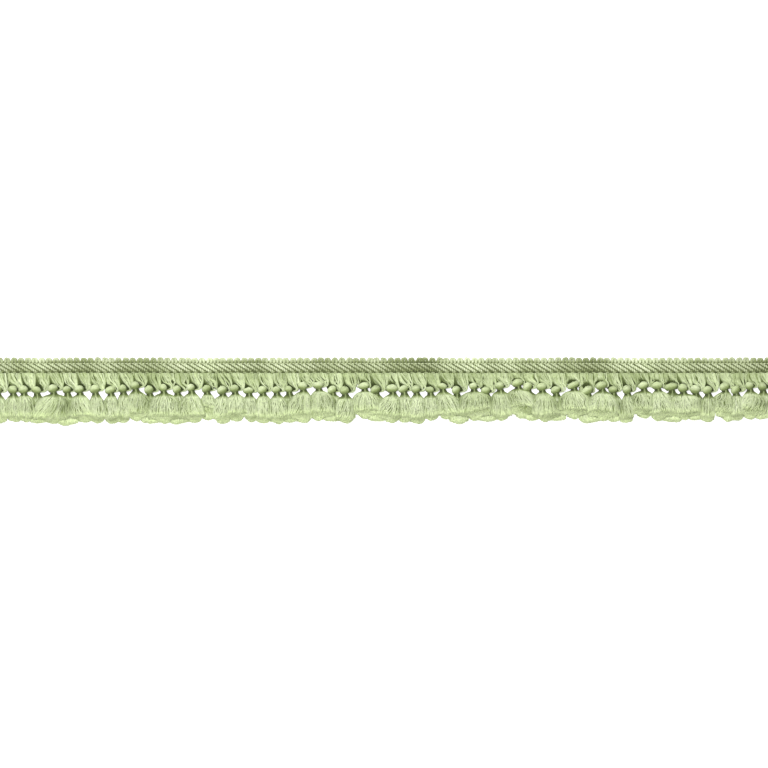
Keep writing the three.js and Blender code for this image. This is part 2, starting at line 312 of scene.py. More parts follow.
# Ribs of the heading
# The weft is a soft two-ply cord. It floats over the front of the warp in diagonal ribs that lie close
# together, highest near the looped edge, and dives under the bindings at both edges of the band.
RIB_RUN = 1.65  # how far a rib runs along the trim for each millimetre down the band
RIB_SHIFT = -0.45  # where the ribs cross the middle line, from a whole number of pitches
RIB_HIGH, RIB_LOW = 1.8, -2.9
RIB_HEIGHT = 0.98
RIB_SLOPE = 0.08  # how much higher a rib lies for each millimetre up the band
RIB_DIVE = 0.5
RIB_BEND = 0.5  # length over which a rib dives
PLY_RADIUS = 0.45
PLY_OFFSET = 0.4
RIB_LAY = 2.7  # length of one turn of the two plies
RIB_POINTS = 28
PLY_SIDES = 5
RIB_STRAY, RIB_STRAY_UP = 0.1, 0.03  # how unevenly the ribs lie, along the trim and upwards
UNEVEN_LENGTH, SLOW_LENGTH = 17.0, 42.0  # shortest waves of the changes of tone along the band
LONGER_WAVES = np.array((1.0, 1.7, 2.7, 4.9))  # how many times as long the waves of such a change are
WAVE_SUM = 1.7  # about the usual height of these waves added up


def two_ply(axes, offset, lay, start):
    """The paths of two plies wound round each of these axes. start is where each axis begins its turn."""
    first, second = carried_normals(axes)
    turn = 2 * math.pi * run_along(axes) / lay + np.reshape(start, (-1, 1))
    plies = []
    for half in (0, math.pi):
        angle = (turn + half)[:, :, None]
        plies.append(axes + offset * (first * np.cos(angle) + second * np.sin(angle)))
    return np.concatenate(plies)


def ramp(values, low, high):
    """A smooth rise from 0 at low to 1 at high."""
    share = np.clip((values - low) / (high - low), 0, 1)
    return share * share * (3 - 2 * share)


def make_uneven(shortest):
    """A slow variation along the trim, between -1 and 1, made of a few random waves. Returns its function."""
    lengths = shortest * LONGER_WAVES
    starts = chance.uniform(0, 2 * math.pi, len(lengths))

    def variation(x):
        waves = np.sin(2 * math.pi * x[..., None] / lengths + starts)
        return np.tanh(np.sum(waves, axis=-1) / WAVE_SUM)

    return variation


uneven = make_uneven(UNEVEN_LENGTH)
slow_tone = make_uneven(SLOW_LENGTH)


def rib_axes():
    end = TRIM_LENGTH / 2 - PLY_RADIUS
    last = math.ceil((TRIM_LENGTH / 2 - RIB_RUN * RIB_LOW) / RIB_PITCH)
    axes = []
    for rib in range(-last, last + 1):
        along = rib * RIB_PITCH + RIB_SHIFT + chance.normal(0, RIB_STRAY)
        high = min(RIB_HIGH, (along + end) / RIB_RUN)
        low = max(RIB_LOW, (along - end) / RIB_RUN)
        if high - low < RIB_BEND:
            continue
        y = np.linspace(high, low, RIB_POINTS)
        dive = 1 - ramp(y, RIB_LOW, RIB_LOW + RIB_BEND) + ramp(y, RIB_HIGH - RIB_BEND, RIB_HIGH)
        z = RIB_HEIGHT + RIB_SLOPE * y - RIB_DIVE * dive + chance.normal(0, RIB_STRAY_UP)
        axes.append(np.stack([along - RIB_RUN * y, y, z], axis=-1))
    return np.array(axes)


rib_cords = rib_axes()
rib_plies = two_ply(rib_cords, PLY_OFFSET, RIB_LAY, chance.uniform(0, 2 * math.pi, len(rib_cords)))
rib_plies[:, :, 2] = np.maximum(rib_plies[:, :, 2], PLY_RADIUS)
rib_tones = np.clip(chance.normal(0.5, 0.18, len(rib_plies)), 0, 1)
# Painted shade: a ply is darker where it turns under its cord and towards the lower edge, most of all
# beside the binding there, and whole stretches of the band are painted lighter or darker than others.
rib_x = rib_plies[:, :, 0]
rib_down = -rib_plies[:, :, 1]
rib_sunk = np.concatenate([rib_cords, rib_cords])[:, :, 2] - rib_plies[:, :, 2]
rib_deep = (0.1 + 0.34 * ramp(rib_down, -1.2, 1.6)) * ramp(rib_sunk, -0.4, 0.2)
rib_deep = rib_deep + 0.12 * ramp(rib_down, 0.0, 1.8) + 0.4 * ramp(rib_down, 2.0, 2.6)
rib_deep = rib_deep * (1 + 0.45 * uneven(rib_x))
rib_deep = np.clip(rib_deep + 0.11 + 0.06 * uneven(rib_x) + 0.14 * slow_tone(rib_x), 0, 1)
heading_piece("heading_ribs", [yarn_tubes(rib_plies, PLY_RADIUS, PLY_SIDES, rib_tones, deep=rib_deep)])


# Edge loops and bindings of the heading
# Above the ribs the weft turns back in a row of small standing loops. A binding thread is stitched along
# their feet, and a finer one along the lower edge, where the fringe leaves the weave.
LOOP_TIP = 4.78
LOOP_PLY_OFFSET = 0.2
LOOP_PLY_RADIUS = 0.6
LOOP_HALF = 0.86  # from the middle of a loop to each of its feet
LOOP_ARCH = 0.7  # height of a loop's arch over its half width
LOOP_SQUARE = 0.75  # under 1, an arch is squarer than half an ellipse
LOOP_FOOT = 1.5
LOOP_SHIFT = 0.26  # how far each loop stands to the left of a whole number of ribs
LOOP_HEIGHT = 0.95
LOOP_CROSSING = 0.1  # how much higher than its middle a loop's left foot lies, and its right foot lower
LOOP_LAY = 2.6
LOOP_STRAY_LEAN, LOOP_STRAY_LENGTH, LOOP_STRAY_UP = 0.07, 0.025, 0.03
LOOP_SLOW_LENGTH = 0.015
LOOP_MARGIN = 2  # from a last loop's middle to the end of the trim, at least
ARCH_POINTS, LEG_POINTS = 14, 4
BINDINGS = (
    {"y": 1.62, "height": 1.62, "rise": 0.1, "radius": 0.3, "stitch": RIB_PITCH / 2, "deep": (0.15, 0.55)},
    {"y": -2.85, "height": 1.1, "rise": 0.2, "radius": 0.28, "stitch": RIB_PITCH, "deep": (0.35, 1.0)},
)
BINDING_STEP = 0.35
BINDING_TONE = 0.5


def loop_axes():
    half_count = int((TRIM_LENGTH / 2 - LOOP_MARGIN) / RIB_PITCH)
    middles = np.arange(-half_count, half_count + 1) * RIB_PITCH - LOOP_SHIFT
    turn = np.linspace(0, math.pi, ARCH_POINTS)
    arch_foot = LOOP_TIP - LOOP_PLY_RADIUS - LOOP_PLY_OFFSET - LOOP_ARCH * LOOP_HALF
    leg_x = np.full(LEG_POINTS, LOOP_HALF)
    leg_y = np.linspace(LOOP_FOOT, arch_foot, LEG_POINTS, endpoint=False)
    arch_x = -LOOP_HALF * np.sign(np.cos(turn)) * np.abs(np.cos(turn)) ** LOOP_SQUARE
    arch_y = arch_foot + LOOP_ARCH * LOOP_HALF * np.sin(turn) ** LOOP_SQUARE
    x = np.concatenate([-leg_x, arch_x, leg_x])
    y = np.concatenate([leg_y, arch_y, leg_y[::-1]])
    axes = []
    for middle in middles:
        lean = chance.normal(0, LOOP_STRAY_LEAN)
        stretch = 1 + chance.normal(0, LOOP_STRAY_LENGTH) + LOOP_SLOW_LENGTH * slow_tone(middle)
        z = LOOP_HEIGHT - LOOP_CROSSING * x / LOOP_HALF + chance.normal(0, LOOP_STRAY_UP)
        up = y - LOOP_FOOT
        axes.append(np.stack([middle + x + lean * up, LOOP_FOOT + up * stretch, z], axis=-1))
    return np.array(axes)


loop_cords = loop_axes()
loop_starts = chance.uniform(0, 2 * math.pi, len(loop_cords))
loop_plies = two_ply(loop_cords, LOOP_PLY_OFFSET, LOOP_LAY, loop_starts)
loop_tones = np.clip(chance.normal(0.5, 0.25, len(loop_plies)), 0, 1)
# Painted shade: a loop is darker towards its feet, and lighter or darker in some stretches of the band.
loop_x = loop_plies[:, :, 0]
loop_down = -loop_plies[:, :, 1]
loop_deep = 0.22 + 0.1 * ramp(loop_down, -3.6, -2.8) + 0.2 * ramp(loop_down, -2.5, -1.9)
loop_deep = loop_deep + 0.25 * uneven(loop_x) * ramp(loop_down, -4.4, -2.6)
loop_deep = np.clip(loop_deep + 0.03 + 0.18 * slow_tone(loop_x), 0, 1)
edge_blocks = [yarn_tubes(loop_plies, LOOP_PLY_RADIUS, PLY_SIDES, loop_tones, deep=loop_deep)]
for binding in BINDINGS:
    steps = round(TRIM_LENGTH / BINDING_STEP)
    x = np.linspace(-TRIM_LENGTH / 2, TRIM_LENGTH / 2, steps + 1)
    wave = np.cos(2 * math.pi * x / binding["stitch"])
    z = binding["height"] + binding["rise"] * wave
    path = np.stack(np.broadcast_arrays(x, binding["y"], z), axis=-1)[None]
    # Painted shade: a binding is darker where it dips under the weave.
    deep = np.interp(-wave, (-0.4, 0.2), binding["deep"])[None]
    edge_blocks.append(yarn_tubes(path, binding["radius"], PLY_SIDES, BINDING_TONE, deep=deep))
heading_piece("heading_edges", edge_blocks)


# Tassels
# Each tassel is one bundle of the heading's fringe yarn. Its strands lie in a few soft wisps that close up to
# a tip beside an overhand knot and turn in under it, and below the knot they spread in a skirt cut to length.
TASSEL_PITCH = 2 * RIB_PITCH
LANE_OVERLAP = 0.9  # how far neighbouring skirts reach into each other
SKIRT_CHART = "mmmtwtqmmmBtbtbsmbmmmtBBtmBtbmmmrtBtMHTrtBtBtnBBTbtnrmBT"
KNOT_CHART = "crlLcclcrclllllcrccccllcclRrRrccllrccRcccRRRrrRRRrclrllL"
# Rise draws a tassel's knot up, lean takes its hem along the trim and reach takes it down. Fan and flat are
# half the widths of a skirt's two layers, crown is its height, and front_up lifts the middle of its rim.
SKIRTS = {
    "b": {"rise": 0.6, "lean": 0.2, "reach": 0.2, "fan": 8.0, "flat": 3.4, "crown": 6.0, "front_up": 1.6},
    "B": {"rise": 2.0, "lean": 0.2, "reach": -0.2, "fan": 8.0, "flat": 3.4, "crown": 6.0, "front_up": 2.6},
    "w": {"rise": 0.6, "lean": -2.2, "reach": 0.0, "fan": 9.0, "flat": 3.4, "crown": 6.0, "front_up": 1.2},
    "q": {"rise": 0.0, "lean": 1.0, "reach": 0.2, "fan": 6.5, "flat": 3.4, "crown": 5.6, "front_up": 1.2},
    "r": {"rise": 1.6, "lean": 1.8, "reach": 0.2, "fan": 7.0, "flat": 3.4, "crown": 5.6, "front_up": 3.0},
    "H": {"rise": 3.0, "lean": 1.8, "reach": -0.6, "fan": 7.0, "flat": 3.4, "crown": 5.8, "front_up": 3.6},
    "s": {"rise": 0.3, "lean": 0.0, "reach": -0.8, "fan": 4.6, "flat": 3.4, "crown": 5.2, "front_up": 4.0},
    "m": {"rise": 0.0, "lean": 0.3, "reach": 0.6, "fan": 5.0, "flat": 3.4, "crown": 5.0, "front_up": 0.6},
    "M": {"rise": 1.6, "lean": 0.3, "reach": 0.0, "fan": 5.0, "flat": 3.4, "crown": 5.2, "front_up": 0.6},
    "n": {"rise": 0.1, "lean": -0.2, "reach": 0.4, "fan": 3.6, "flat": 3.4, "crown": 4.6, "front_up": 0.6},
    "t": {"rise": 0.0, "lean": 0.0, "reach": 0.5, "fan": 0.0, "flat": 5.5, "crown": 0.0, "front_up": 0.0},
    "T": {"rise": 1.4, "lean": 0.0, "reach": 0.3, "fan": 0.0, "flat": 5.5, "crown": 0.0, "front_up": 0.0},
}
# Along is where a knot lies, from the middle of its tassel's own stretch of heading.
KNOTS = {
    "L": {"along": -3.0, "half_width": 2.1},
    "l": {"along": -2.5, "half_width": 2.25},
    "c": {"along": -1.7, "half_width": 2.35},
    "r": {"along": -0.9, "half_width": 2.35},
    "R": {"along": 0.3, "half_width": 2.85},
}
YARN_HALF = (0.245, 0.31, 0.115, 1.0)
YARN_SHADE = (0.022, 0.034, 0.004, 1.0)
YARN = (0.525, 0.61, 0.335, 1.0)
YARN_PALE = (0.70, 0.77, 0.52, 1.0)
# Paler cut ends, partly painted light: the tip colour is brightened to stand in for light on the ends.
YARN_TIP = (0.77, 0.885, 0.49, 1.0)
fringe_yarn = yarn_finish(
    "fringe_yarn", YARN, YARN_PALE, YARN_TIP, YARN_HALF, YARN_SHADE,
    turns_per_mm=0.8, streak_contrast=1.2, relief=0.00005)

KNOT_Y = -11.6
KNOT_RADIUS = 2.3
KNOT_HEIGHT = 2.3
KNOT_TILT = math.radians(14)
KNOT_STRAY = 0.2
KNOT_WIDTH, KNOT_WIDTH_STRAY = 1.07, 0.09  # of its half width in the list
NECK_DROP = 2.7
NECK_RADIUS = 1.65
HEM_Y = -27.5
HEM_TILT = 0.0035  # the skirts are cut a little shorter towards the right
HEM_WAVE_LENGTH, HEM_WAVE = 20.0, 0.55  # slow changes of the hem along the trim
HEM_STRAY, HEM_STRAY_ALONG = 0.45, 0.5
HEM_LOWEST, HEM_HIGHEST = -0.9, 1.4
HEM_CURVE = 0.9
FLAT_CURVE = 1.3
FLAT_TOP = 1.9
DOME_HEM_UP = 1.6
DOME_DROOP = 1.5


def lay_out_tassels():
    hem_wave = make_uneven(HEM_WAVE_LENGTH)
    laid = []
    for place, (skirt_letter, knot_letter) in enumerate(zip(SKIRT_CHART, KNOT_CHART)):
        skirt = SimpleNamespace(**SKIRTS[skirt_letter])
        knot = SimpleNamespace(**KNOTS[knot_letter])
        root_x = (place - (len(SKIRT_CHART) - 1) / 2) * TASSEL_PITCH
        knot_x = root_x + knot.along
        knot_y = KNOT_Y + skirt.rise + chance.normal(0, KNOT_STRAY)
        neck_x = knot_x + NECK_DROP * math.sin(KNOT_TILT)
        hem_offset = HEM_WAVE * hem_wave(np.array(root_x)) + chance.normal(0, HEM_STRAY)
        hem_offset = np.clip(hem_offset, HEM_LOWEST, HEM_HIGHEST)
        knot_half = knot.half_width * chance.normal(KNOT_WIDTH, KNOT_WIDTH_STRAY)
        laid.append(SimpleNamespace(
            place=place, skirt=skirt, root_x=root_x, along=knot.along, knot_x=knot_x, knot_y=knot_y,
            knot_half=knot_half, neck_x=neck_x, neck_y=knot_y - NECK_DROP,
            hem_x=neck_x + skirt.lean + chance.normal(0, HEM_STRAY_ALONG),
            hem_y=HEM_Y + HEM_TILT * root_x - skirt.reach + hem_offset,
        ))
    return laid


tassels = lay_out_tassels()
domed_tassels = [tassel for tassel in tassels if tassel.skirt.crown > 0]


def half_lanes(tassel, layer, limit):
    """How far a layer of a skirt spreads to its left and right at the hem: up to its own limit, and no
    further than its share of the room to the next skirt in that layer."""
    own = getattr(tassel.skirt, limit)
    place = layer.index(tassel)
    widths = []
    for other in (place - 1, place + 1):
        width = own
        if 0 <= other < len(layer):
            share = own / (own + getattr(layer[other].skirt, limit))
            width = min(own, share * abs(layer[other].hem_x - tassel.hem_x) + LANE_OVERLAP)
        widths.append(width)
    return widths


def smooth_paths(controls, points):
    """Curves through rows of control points, each with this many points."""
    before = 2 * controls[:, :1] - controls[:, 1:2]
    after = 2 * controls[:, -1:] - controls[:, -2:-1]
    padded = np.concatenate([before, controls, after], axis=1)
    spans = controls.shape[1] - 1
    place = np.linspace(0, spans, points)
    span = np.minimum(place.astype(int), spans - 1)
    t = (place - span)[:, None]
    a, b, c, d = (padded[:, span + step] for step in range(4))
    return 0.5 * (2 * b + (c - a) * t + (2 * a - 5 * b + 4 * c - d) * t**2 + (3 * b - a - 3 * c + d) * t**3)


# The bundle narrows from its left side and keeps its right side nearly straight. Each row is a share of the
# way down to the knot, with the bundle's left edge where it is full and where it is slim, and its right
# edge, from the middle of the tassel's own stretch of heading.
BUNDLE_TOP = -3.0
BUNDLE_ROWS = (
    {"down": 0.00, "full": -3.4, "slim": -3.4, "right": 3.4, "height": 1.00},
    {"down": 0.11, "full": -3.6, "slim": -3.3, "right": 3.5, "height": 1.40},
    {"down": 0.36, "full": -3.6, "slim": -2.4, "right": 3.7, "height": 1.70},
    {"down": 0.60, "full": -2.9, "slim": -1.4, "right": 3.8, "height": 1.85},
    {"down": 0.76, "full": -0.9, "slim": 0.2, "right": 3.6, "height": 1.85},
    {"down": 0.92, "full": 0.8, "slim": 1.3, "right": 3.2, "height": 1.75},
    {"down": 1.07, "full": 1.1, "slim": 1.3, "right": 2.5, "height": 1.60},
)
USUAL_ALONG = -2.1  # the knot's place that the rows are for
BUNDLE_STRANDS = 37
BUNDLE_WISPS = 6
BUNDLE_POINTS = 14
BUNDLE_RADIUS = 0.26  # of a strand
STRAND_SIDES = 3
STRAND_STRAY = 0.06
WISP_SWAY = (0.4, 0, 0.2)
PARTED_LEFT, PARTED_RIGHT = -3.4, 3.5  # edges of a bundle whose knot lies under its middle
TURN_IN = (1.55, 0.4)  # how far beside the knot's middle the strands turn in under it, in two steps
TURN_IN_DROP, TURN_IN_HEIGHT = 1.1, 1.8
BACK_YARNS, BACK_RADIUS = 13, 0.5
BACK_POINTS, BACK_SIDES = 8, 4
BACK_STRAY = 0.09


def wisp_places(wisp):
    """Each strand's place across its wisp, from -1 to 1, for strands that are numbered by wisp in order."""
    inside = np.empty(len(wisp))
    for number in range(wisp[-1] + 1):
        own = wisp == number
        inside[own] = (np.arange(own.sum()) + 0.5) / max(1, own.sum()) * 2 - 1
    return inside


def bundle_front(tassel):
    """The strands of a bundle that show. They part to both sides of a knot that lies under its middle."""
    count = BUNDLE_STRANDS
    place = np.clip(np.linspace(-1, 1, count) + chance.normal(0, 0.02, count), -1, 1)
    wisp = np.searchsorted(np.sort(chance.uniform(-0.9, 0.9, BUNDLE_WISPS - 1)), place)
    inside = wisp_places(wisp)
    lift = chance.normal(0, 0.05, count) - 0.25 * inside**2
    slim = chance.uniform(-0.5, 1.0)
    bow = chance.uniform(0.6, 2.2)
    outer = ramp(np.abs(place), 0.3, 0.6)
    under_middle = tassel.along > 0
    controls = []
    for row in BUNDLE_ROWS:
        down = row["down"]
        left = row["full"] + (row["slim"] - row["full"]) * slim
        right = row["right"]
        if under_middle:
            left = PARTED_LEFT + 0.6 * down**3
            right = PARTED_RIGHT - 0.3 * down**3
        x = tassel.root_x + (left + right) / 2 + place * (right - left) / 2
        x = x + 0.6 * (tassel.along - USUAL_ALONG) * down**2 * (not under_middle)
        x = x - bow * (1 - place**2) * max(0.0, 1 - down / 0.6)
        z = row["height"] * (0.5 + 0.5 * np.sqrt(1 - place**2))
        z = z + 0.4 * place * ramp(down, 0.05, 0.5) + lift
        if under_middle:
            beside = np.where(place < 0, -1.0, 1.0)
            pushed = tassel.knot_x + beside * (tassel.knot_half - 0.3 + 0.9 * np.abs(place))
            x = x + (pushed - x) * ramp(down, 0.5, 0.85) * outer
            z = z - 1.3 * (1 - outer) * ramp(down, 0.4, 0.6)
        y = BUNDLE_TOP + down * (tassel.knot_y - BUNDLE_TOP)
        controls.append(np.stack(np.broadcast_arrays(x, y, z), axis=-1))
    for inward in TURN_IN:
        side = np.where(place < 0, -1.0, 1.0) if under_middle else 1.0
        x = tassel.knot_x + side * inward + 0.15 * place
        z = TURN_IN_HEIGHT + 0.5 * lift
        controls.append(np.stack(np.broadcast_arrays(x, tassel.knot_y - TURN_IN_DROP, z), axis=-1))
    controls = np.stack(controls, axis=1)
    controls[:, 1:7] += chance.normal(0, STRAND_STRAY, (count, 6, 3))
    sway = chance.normal(0, 1, (BUNDLE_WISPS, 4, 3)) * WISP_SWAY
    controls[:, 2:6] += sway[wisp] * (1 - 0.75 * ramp(np.abs(place), 0.5, 1.0))[:, None, None]
    paths = smooth_paths(controls, BUNDLE_POINTS)
    paths[:, :, 2] = np.maximum(paths[:, :, 2], BUNDLE_RADIUS)

    # Painted shade: a strand is darker beside the heading, at the knot, between wisps, at the sides of the
    # bundle and where it lies low, and lighter towards the bundle's right.
    way = np.linspace(0, 1, BUNDLE_POINTS)
    deep = 0.2 + 0.1 * (1 - ramp(way, 0.0, 0.06)) - 0.1 * ramp(way, 0.2, 0.4) + 0.7 * ramp(way, 0.76, 0.92)
    own_shade = chance.normal(0, 0.05) - 0.06 * place + chance.normal(0, 0.05, BUNDLE_WISPS)[wisp]
    deep = deep + own_shade[:, None]
    groove = chance.uniform(0.05, 0.5, BUNDLE_WISPS)[wisp] * ramp(np.abs(inside), 0.55, 1.0)
    deep = deep + groove[:, None] * ramp(way, 0.02, 0.15)
    if under_middle:
        deep = deep + 0.6 * (1 - outer)[:, None] * ramp(way, 0.27, 0.4)
    at_side = ramp(-place, 0.75, 1.0) + 0.7 * ramp(place, 0.85, 1.0)
    deep = deep + 0.5 * at_side[:, None] * ramp(way, 0.05, 0.3)
    deep = deep + 0.3 * ramp(-paths[:, :, 2], -1.0, -0.3) * ramp(way, 0.1, 0.3)
    tone = np.clip(chance.normal(0.25, 0.3, count), 0, 1)
    return yarn_tubes(paths, BUNDLE_RADIUS, STRAND_SIDES, tone, deep=np.clip(deep, 0, 1))


def bundle_back(tassel):
    """The yarns on the table under a bundle. They follow it from the heading to the knot."""
    spread = np.linspace(-1, 1, BACK_YARNS)
    low = tassel.knot_x - tassel.root_x
    rows = (
        (tassel.root_x + 3.5 * spread, BUNDLE_TOP, 0.5),
        (tassel.root_x + 3.4 * spread, 0.55 * BUNDLE_TOP + 0.45 * tassel.knot_y, 0.5),
        (tassel.root_x + 0.5 * low + 0.1 + 3.3 * spread, tassel.knot_y + 1.7, 0.55),
        (tassel.knot_x + 0.9 + 2.1 * spread, tassel.knot_y - 0.2, 0.8),
        (tassel.knot_x + 0.5 + 0.6 * spread, tassel.knot_y - 1.2, 1.5),
    )
    controls = np.stack([np.stack(np.broadcast_arrays(*row), axis=-1) for row in rows], axis=1)
    controls[:, 1:4] += chance.normal(0, BACK_STRAY, (BACK_YARNS, 3, 3)) * (1, 1, 0.3)
    paths = smooth_paths(controls, BACK_POINTS)
    paths[:, :, 2] = np.maximum(paths[:, :, 2], BACK_RADIUS)
    # Painted shade: the yarns under a bundle are dark, and darker towards the knot.
    deep = 0.68 + 0.29 * ramp(np.linspace(0, 1, BACK_POINTS), 0.1, 0.45)
    return yarn_tubes(paths, BACK_RADIUS, BACK_SIDES, chance.uniform(0.2, 0.7, BACK_YARNS), deep=deep)


# The knot is wound from the same yarn, side by side round a tilted ball, and painted shade darkens its
# lower half and the core under the windings.
KNOT_TURNS = 8.6
WRAP_POINTS = 15  # in each turn
WRAP_RADIUS = 0.32
WRAP_SIDES = 5
WRAP_SLANT = 0.3
KNOT_TILT_STRAY = 0.22
KNOT_SIZE, KNOT_SIZE_STRAY, KNOT_LARGEST = 0.96, 0.08, 1.1  # of its radius, along its axis and upwards
KNOT_CORE_POINTS, KNOT_CORE_SIDES = 7, 8


def knot_blocks(tassel):
    tilt = KNOT_TILT + chance.normal(0, KNOT_TILT_STRAY)
    axis = np.array((-math.sin(tilt), math.cos(tilt), 0.0))
    aside = np.array((math.cos(tilt), math.sin(tilt), 0.0))
    upright = np.array((0.0, 0.0, 1.0))
    centre = np.array((tassel.knot_x, tassel.knot_y, KNOT_HEIGHT))
    size = min(chance.normal(KNOT_SIZE, KNOT_SIZE_STRAY), KNOT_LARGEST)
    half_height = KNOT_RADIUS * size - WRAP_RADIUS
    half_width = tassel.knot_half - WRAP_RADIUS

    share = np.linspace(0, 1, round(WRAP_POINTS * KNOT_TURNS))
    turn = 2 * math.pi * KNOT_TURNS * share + chance.uniform(0, 2 * math.pi)
    slant = WRAP_SLANT * np.sin(turn + chance.uniform(0.4, 1.6))
    height = np.clip(half_height * (2 * share - 1) + slant, -half_height, half_height)
    reach = np.sqrt(1 - 0.98 * (height / half_height) ** 2)
    winding = centre + height[:, None] * axis
    winding = winding + (half_width * reach * np.cos(turn))[:, None] * aside
    winding = winding + (half_height * reach * np.sin(turn))[:, None] * upright
    winding[:, 2] = np.maximum(winding[:, 2], WRAP_RADIUS)
    below = 0.13 + chance.normal(0, 0.04) + 0.55 * ramp(-height, -1.0, 1.5)
    wrap_radius = WRAP_RADIUS * (1 - 0.6 * ramp(np.abs(2 * share - 1), 0.95, 1.0))
    wrap_tone = chance.uniform(0.2, 0.6)

    core_share = np.linspace(-1, 1, KNOT_CORE_POINTS)
    core_path = (centre + (half_height * core_share)[:, None] * axis)[None]
    core_radius = half_height * np.sqrt(1.04 - core_share**2)
    return [
        yarn_tubes(winding[None], wrap_radius, WRAP_SIDES, wrap_tone, deep=np.clip(below, 0, 1)),
        yarn_tubes(core_path, core_radius, KNOT_CORE_SIDES, tone=0.4, deep=0.55),
    ]


# A skirt is a dome of strands over a soft core. It opens to its full width one to two thirds of the way down.
# Its cut end slants from the rim at the front down to the table, and often to one side too.
NECK_TOP, FLAT_NECK_TOP = 3.2, 2.4
CROWN_SUNK, FLAT_SUNK = 0.3, 0.25  # how far the face of each layer lies under the part's, for its strands
FLAT_BASE, FLAT_DROOP = 0.1, 0.2
RIM_STRAY, RIM_PHASE = 0.25, 2.4  # a wave along the rim, and how far it shifts from tassel to tassel
HEM_HEIGHT = 0.25  # of the hem on the table


def skirt_form(tassel, domed):
    """How one layer of a skirt lies, the flat one or the dome over it."""
    own = half_lanes(tassel, tassels, "flat")
    left, right = half_lanes(tassel, domed_tassels, "fan") if domed else own
    return SimpleNamespace(
        tassel=tassel, left=left, right=right, own=own, domed=domed,
        hem_y=tassel.hem_y + DOME_HEM_UP * domed,
        front_up=tassel.skirt.front_up * chance.uniform(0.1, 1.2) * domed,
        slant=chance.normal(0, 1.0) * domed,
        open_at=chance.uniform(0.35, 0.7),
        open_power=chance.uniform(0.65, 1.1),
        curve=HEM_CURVE if domed else FLAT_CURVE,
        neck_top=NECK_TOP if domed else FLAT_NECK_TOP,
        crown=tassel.skirt.crown * chance.uniform(0.82, 1.03) - CROWN_SUNK if domed else FLAT_TOP - FLAT_SUNK,
        base=FLAT_TOP if domed else FLAT_BASE,
        droop=DOME_DROOP if domed else FLAT_DROOP,
        stray_phase=RIM_PHASE * tassel.place,
        twist=chance.normal(0, 0.5),
        end_shade=chance.uniform(0.0, 0.2) if domed else chance.uniform(0.0, 0.1),
        neck_shade=chance.uniform(0.05, 0.15),
        broken=chance.uniform(0.1, 0.5),
        tone=chance.normal(0, 0.1),
        shade=chance.uniform(-0.08, 0.07),
        shade_phase=chance.uniform(0, 2 * math.pi),
    )


def end_shade(form, x):
    """How deep in shade a skirt's cut end lies at these places along the trim."""
    aside = 2 * (x - form.tassel.hem_x) / (form.left + form.right)
    return form.end_shade * ramp(np.sin(2.6 * aside + form.shade_phase), -0.2, 1.0)


def on_skirt(form, s, angle, lift=0.0):
    """Points on a skirt's outer face, at a share s of the way from the neck to the rim. The angle runs from
    -90 degrees at its left edge to 90 at its right. The edges bow out at once, and the middle runs
    straight."""
    tassel = form.tassel
    side = np.sin(angle)
    opened = (1 - (1 - np.clip(s / form.open_at, 0, 1)) ** 2) ** form.open_power
    bowed = np.abs(side) ** 1.5
    room = np.where(side < 0, form.left, form.right) - NECK_RADIUS
    half = NECK_RADIUS + room * opened
    spread = np.abs(side) * (NECK_RADIUS + room * (bowed * opened + (1 - bowed) * np.maximum(s, 0) ** 0.85))
    up = np.sqrt(np.clip(1 - (spread / half) ** 2, 0, 1))
    top = form.neck_top + (form.crown - form.neck_top) * opened - form.droop * ramp(s, form.open_at, 1.1)
    base = KNOT_HEIGHT - 0.5 + (form.base - KNOT_HEIGHT + 0.5) * ramp(s, 0, 0.25)
    arch = form.front_up * np.clip(np.cos(angle), 0, 1)
    arch = arch + 0.5 * (abs(form.slant) + form.slant * side)
    rim = form.hem_y + arch + form.curve * side**2 + RIM_STRAY * np.sin(3 * angle + form.stray_phase)
    x = tassel.neck_x + (tassel.hem_x - tassel.neck_x) * s + np.sign(side) * (spread + lift * np.abs(side))
    y = tassel.neck_y + (rim - tassel.neck_y) * s
    z = base + (top + lift - base) * up**0.8
    return np.stack(np.broadcast_arrays(x, y, z), axis=-1)


def skirt_hem(form, rim, angle):
    """The lower edge of a skirt's cut end, under points of its rim. Within the tassel's own lane it comes
    down to the table, and beyond that it stays on top of the next tassels."""
    aside = rim[..., 0] - form.tassel.hem_x
    lane = np.where(aside < 0, form.own[0], form.own[1])
    within = form.domed * (1 - ramp(np.abs(aside) / lane, 0.75, 1.1))
    hem = rim.copy()
    hem[..., 1] = form.hem_y + form.curve * np.sin(angle) ** 2 - (DOME_HEM_UP - 0.2) * within
    hem[..., 2] = form.base + (HEM_HEIGHT - form.base) * within
    return hem


CORE_ROWS, CORE_TOP, CORE_END_ROWS = 9, 13, 3
CORE_SUNK = 0.25  # under the outer face
CORE_TURN = 0.35  # millimetres across the core for each turn in its map
CORE_TONE = 0.35


